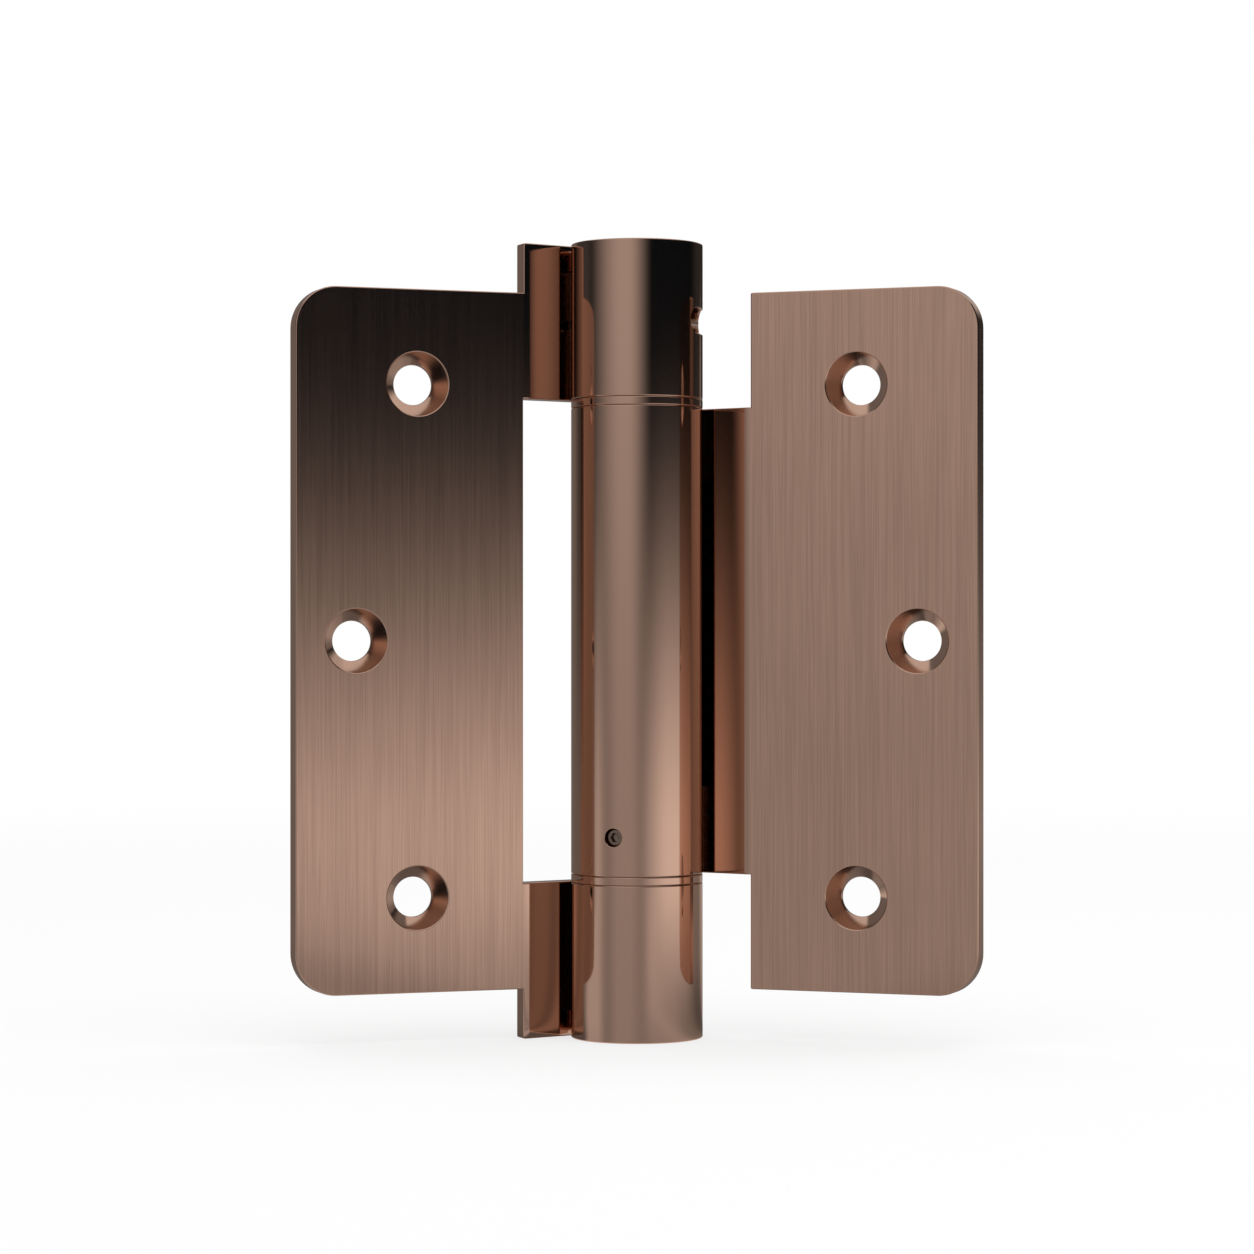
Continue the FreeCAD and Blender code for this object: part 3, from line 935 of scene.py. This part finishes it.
class BuildTensioner(bpy.types.Operator):
    """Turns and drills the tension collar, and grinds the pin in it"""

    bl_idname = "hinge.tensioner"
    bl_label = "Tension collar and pin"

    def execute(self, context):
        leaf, barrel = context.scene.hinge_leaf, context.scene.hinge_barrel
        chamfer, step_chamfer = barrel.plug_chamfer * MM, 0.15
        plug, journal = barrel.plug_radius * MM, barrel.journal_radius * MM
        arbor, arbor_length = barrel.arbor_radius * MM, 8.0
        shoulder, drive, top = barrel.upper_ring * MM, barrel.collar_drive * MM, barrel.collar_top * MM
        hole_height = (barrel.upper_ring_top + barrel.height) / 2 * MM
        floor = plug - barrel.winding_depth * MM
        section = [
            (0, drive - arbor_length),
            (arbor, drive - arbor_length),
            (arbor, drive),
            (journal, drive),
            (journal, shoulder),
            (plug, shoulder),
            (plug, top),
            (0, top),
        ]
        body = turned(section, [(6, chamfer, 2), (5, step_chamfer, 2), (1, chamfer, 2)])
        hole, flare = barrel.winding_radius * MM, 0.1
        drill = [
            (0, floor),
            (hole, floor),
            (hole, plug - flare),
            (hole + 2 * flare, plug + flare),
            (0, plug + flare),
        ]
        cutters = []
        for index in range(barrel.winding_holes):
            azimuth = barrel.pin_azimuth + math.tau * index / barrel.winding_holes
            cutters.append(aimed(turned(drill, steps=WINDING_STEPS), azimuth, hole_height))
        mesh = evened(cut(mesh_from(body, "collar"), cutters))
        finished("tension_collar_plug", mesh, "tensioner", "tension_collar", "plug_steel", "turned_steel")
        tip = (barrel.bore_radius + leaf.plate - barrel.pin_recess) * MM
        tip_round, end_chamfer = (2, 0.2, 4), (1, 0.1, 2)
        pin = turned(block(0, barrel.pin_radius * MM, floor, tip), [tip_round, end_chamfer], PIN_STEPS)
        mesh = evened(mesh_from(aimed(pin, barrel.pin_azimuth, hole_height), "pin"))
        finished("tension_pin_rod", mesh, "tensioner", "tension_pin", "pin_steel", "ground_steel")
        return {"FINISHED"}


class BuildGrubScrew(bpy.types.Operator):
    """Turns the grub screw with its thread, and cuts its hexagon socket"""

    bl_idname = "hinge.grub_screw"
    bl_label = "Grub screw"

    def execute(self, context):
        leaf, barrel = context.scene.hinge_leaf, context.scene.hinge_barrel
        play, thread_depth, tip_chamfer, head_chamfer = 0.04, 0.25, 0.15, 0.2
        crest = barrel.grub_radius * MM - play
        root = crest - thread_depth
        pitch = barrel.grub_pitch * MM
        head = (barrel.bore_radius + leaf.plate - barrel.grub_recess) * MM
        tip = head - barrel.grub_length * MM
        section = [(0, tip), (root - tip_chamfer, tip), (root, tip + tip_chamfer)]
        turns = int((head - tip - 3 * head_chamfer) / pitch)
        # Each turn rises to a narrow crest and falls back to the next root
        for turn in range(turns):
            low = tip + tip_chamfer + turn * pitch
            section += [(crest, low + 0.45 * pitch), (crest, low + 0.6 * pitch), (root, low + pitch)]
        section += [(crest, head - head_chamfer), (crest - head_chamfer, head), (0, head)]
        azimuth, height = barrel.grub_azimuth, barrel.grub_height * MM
        screw = mesh_from(aimed(turned(section, steps=PIN_STEPS), azimuth, height), "screw")
        corner = barrel.socket_flats / 2 * MM / math.cos(math.pi / 6)
        floor, drill_point = head - barrel.socket_depth * MM, 0.3
        section = block(0, corner, floor, head + CLEAR)
        section[0] = (0, floor - drill_point)
        socket = aimed(turned(section, steps=6), azimuth, height)
        mesh = evened(cut(screw, [socket]), math.radians(25))
        finished("grub_screw", mesh, "door_side", "anchor_set_screw", "screw_steel", "dark_steel")
        return {"FINISHED"}


class FinishInnerParts(bpy.types.Operator):
    """Gives the spring, its anchor and the bushes their finishes"""

    bl_idname = "hinge.inner_parts"
    bl_label = "Spring, anchor and bushes"

    def execute(self, context):
        finishes = {
            "torsion_spring": "tempered_wire",
            "spring_anchor": "turned_steel",
            "upper_bush": "black_nylon",
            "lower_bush": "black_nylon",
        }
        for node, kind in finishes.items():
            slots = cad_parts[node].data.materials
            slots.clear()
            slots.append(finish(kind))
        return {"FINISHED"}


# The stage


WHITE = (1.0, 1.0, 1.0, 1.0)
# In metres, for the pattern on the floor that the barrel mirrors.
BARREL_RADIUS = 0.0095


def card_material(stage):
    """The brightness of the cards round the object, by azimuth in degrees, distance and height."""
    material, board = new_material("studio_cards")
    ease, bump = board.smooth_step, board.bump
    x, y, z = board.axes(board.object_place())
    azimuth = x.maths("ARCTAN2", x, y * -1.0) * math.degrees(1)
    distance = (x * x + y * y) ** 0.5

    # Above the floor: a softbox beside the camera, between dark flags, and a bright wall high behind
    box = ease(azimuth, -96.0, -25.0) * ease(azimuth, 27.0, -16.0) * ease(z, 0.05, 0.2, 0.86, 1.0)
    side = ease(azimuth, -82.0, -98.0, 0.0, stage.side_flag)
    back_left = ease(azimuth, -120.0, -140.0, 0.0, 0.138)
    back_right = ease(azimuth, 105.0, 130.0, 0.0, 0.03)
    back_right = back_right + bump(azimuth, 147.0, 7.0) * ease(z, 0.175, 0.14, 0.0, 0.24)
    wall = ease(azimuth, 140.0, 150.0) * ease(z, 0.18, 0.34, 0.0, 0.8)
    high = stage.flag + side + back_left + back_right + wall + box * (stage.softbox - stage.flag)

    # On the floor: a painted pool of light on the right, with two darker bands in front, and a painted
    # shadow of the object close to it.
    # A place near the barrel is mirrored where a far place of a larger azimuth is.
    mirrored = azimuth * (distance * 2.0) / (distance * 2.0 - BARREL_RADIUS)
    at_foot = azimuth - ease(distance, 0.06, 0.01, 0.0, 20.0)
    # A painted pool of light on the mirrored floor, to the right
    pool_on_right = ease(at_foot, 5.0, 58.0) * ease(azimuth, 122.0, 74.0, 0.15, 1.0)
    left = ease(mirrored, -57.0, -77.0) * ease(distance, 0.0, 0.04, 0.12, 0.18)
    turned_back = mirrored + ease(distance, 0.3, 0.05, 0.0, 22.0)
    far_left = ease(turned_back, -71.0, -89.0, 0.0, 0.45)
    behind = ease(azimuth, -128.0, -158.0, 0.0, 0.6) * bump(distance, 0.15, 0.13)
    bands = bump(mirrored, -52.0, 20.0) * 0.115 + bump(azimuth, 6.0, 19.0) * 0.09
    low = 0.47 + pool_on_right * 0.57 + left - far_left + behind - bands
    # Painted shadow of the object: the mirrored floor dims close to it
    out_of_painted_shadow = ease(distance, -0.04, 0.36, 0.35, 1.0)
    low = low * (out_of_painted_shadow + (1.0 - out_of_painted_shadow) * (1.0 - pool_on_right) * 0.9)
    low = low * ease(azimuth, 85.0, 125.0, 1.0, 0.5)
    low = low * (1.0 + bump(azimuth, 24.0, 16.0) * bump(distance, 0.17, 0.2) * 0.12)
    # More painted shade on the mirrored floor close to the object, at the right and behind
    in_painted_shadow = ease(distance, 0.15, 0.03)
    low = low * (1.0 - in_painted_shadow * ease(azimuth, 55.0, 100.0, 0.0, 0.45))
    low = low + ease(azimuth, 135.0, 150.0, 0.0, 0.2)

    # Full on the floor, gone at the fade's height
    fade = ease(z, stage.flag_fade, -0.04, 0.0, 1.105) ** 1.52
    lit = high + (low - high) * fade
    rise = ease(z, stage.card_height * 0.8, stage.card_height)
    brightness = lit + (stage.ceiling - lit) * rise
    haze = stage.cool_haze
    shown = {"Red": brightness, "Green": brightness + haze / 2, "Blue": brightness + haze}
    board.show(board.glow(board.add("ShaderNodeCombineColor", inputs=shown)))
    material.cycles.emission_sampling = "NONE"
    return material


def seen_directly(board):
    """1 for what the camera sees, also in a mirror or through glass."""
    rays = [
        board.add("ShaderNodeLightPath", output=f"Is {kind} Ray")
        for kind in ("Camera", "Glossy", "Transmission")
    ]
    total = rays[0] + rays[1] + rays[2]
    return total.maths("MINIMUM", total, 1.0)


class SetTheStage(bpy.types.Operator):
    """Puts up the floor, the cards, the light, the world and the camera"""

    bl_idname = "hinge.stage"
    bl_label = "Stage"

    def execute(self, context):
        stage = context.scene.hinge_stage
        self.floor(context, stage)
        self.cards(context, stage)
        self.light(context, stage)
        self.camera(context, stage)
        context.scene.view_settings.view_transform = "Standard"
        return {"FINISHED"}

    def floor(self, context, stage):
        bm = bmesh.new()
        bmesh.ops.create_grid(bm, x_segments=1, y_segments=1, size=stage.floor_reach)
        floor = placed("floor", mesh_from(bm, "floor"))
        material, board = new_material("pale_floor")
        matt = board.add("ShaderNodeBsdfDiffuse", inputs={"Color": (*stage.floor_colour, 1.0)})
        glow = board.glow(WHITE)
        x, y = board.axes(board.object_place(), 2)
        # Near the object a part of the matt floor is left, which takes its shadow
        share_shown = board.smooth_step((x * x + y * y) ** 0.5, 0.1, 0.8, 0.7, 1.0)
        board.show(board.blend(seen_directly(board) * share_shown, matt, glow))
        floor.data.materials.append(material)

    def cards(self, context, stage):
        radius, height, lift = stage.card_radius, stage.card_height, stage.card_lift
        bm = bmesh.new()
        points = [(stage.card_opening, lift), (radius, lift), (radius, height), (0.0, height)]
        corners = [bm.verts.new((0.0, -distance, level)) for distance, level in points]
        for pair in zip(corners, corners[1:]):
            bm.edges.new(pair)
        spun(bm)
        cards = placed("cards", mesh_from(bm, "cards"))
        cards.data.materials.append(card_material(stage))
        for kind in ("camera", "diffuse", "transmission", "volume_scatter", "shadow"):
            setattr(cards, f"visible_{kind}", False)

    def light(self, context, stage):
        lamp = bpy.data.lights.new("overhead", "AREA")
        lamp.shape = "SQUARE"
        lamp.size = stage.lamp_size
        lamp.energy = stage.lamp_power
        overhead = placed("overhead", lamp)
        overhead.location = stage.lamp_place
        overhead.visible_glossy = False
        world = bpy.data.worlds.new("white_room")
        world.use_nodes = True
        context.scene.world = world
        board = Board(world.node_tree)
        ambient, shown = (
            board.add("ShaderNodeBackground", inputs={"Color": WHITE, "Strength": strength})
            for strength in (stage.ambient, 1.0)
        )
        board.show(board.blend(seen_directly(board), ambient, shown), "World")

    def camera(self, context, stage):
        lens = bpy.data.cameras.new("camera")
        lens.sensor_width = 36.0
        lens.lens = stage.focal_length
        lens.shift_x = stage.shift_x
        lens.shift_y = stage.shift_y
        lens.clip_start = 0.01
        camera = placed("camera", lens)
        camera.location = (0.0, -stage.camera_distance, stage.camera_height)
        camera.rotation_euler = (math.pi / 2, 0.0, 0.0)
        context.scene.camera = camera


STEPS = (
    BuildFrameLeaf,
    BuildDoorLeaf,
    BuildWashers,
    BuildCaps,
    BuildTensioner,
    BuildGrubScrew,
    FinishInnerParts,
    SetTheStage,
)


class HingePanel(bpy.types.Panel):
    """Lists the steps that build the hinge"""

    bl_idname = "VIEW3D_PT_spring_hinge"
    bl_label = "Spring Hinge"
    bl_space_type = "VIEW_3D"
    bl_region_type = "UI"
    bl_category = "Spring Hinge"

    def draw(self, context):
        for step in STEPS:
            self.layout.operator(step.bl_idname)
        for setting in SETTINGS:
            group = getattr(context.scene, setting)
            box = self.layout.box()
            for name in group.bl_rna.properties.keys():
                if name not in ("name", "rna_type"):
                    box.prop(group, name)


SETTINGS = {
    "hinge_leaf": LeafSizes,
    "hinge_barrel": BarrelSizes,
    "hinge_finish": FinishColours,
    "hinge_stage": StageSettings,
}
CLASSES = (*SETTINGS.values(), *STEPS, HingePanel)


def register():
    """Registers the classes and hangs the settings on the scene."""
    for item in CLASSES:
        bpy.utils.register_class(item)
    for name, group in SETTINGS.items():
        setattr(bpy.types.Scene, name, PointerProperty(type=group))


def unregister():
    """Takes back what register did."""
    for name in reversed(SETTINGS):
        delattr(bpy.types.Scene, name)
    for item in reversed(CLASSES):
        bpy.utils.unregister_class(item)


def main():
    """Builds everything."""
    register()
    bpy.ops.hinge.frame_leaf()
    bpy.ops.hinge.door_leaf()
    bpy.ops.hinge.washers()
    bpy.ops.hinge.caps()
    bpy.ops.hinge.tensioner()
    bpy.ops.hinge.grub_screw()
    bpy.ops.hinge.inner_parts()
    bpy.ops.hinge.stage()


if __name__ == "__main__":
    main()
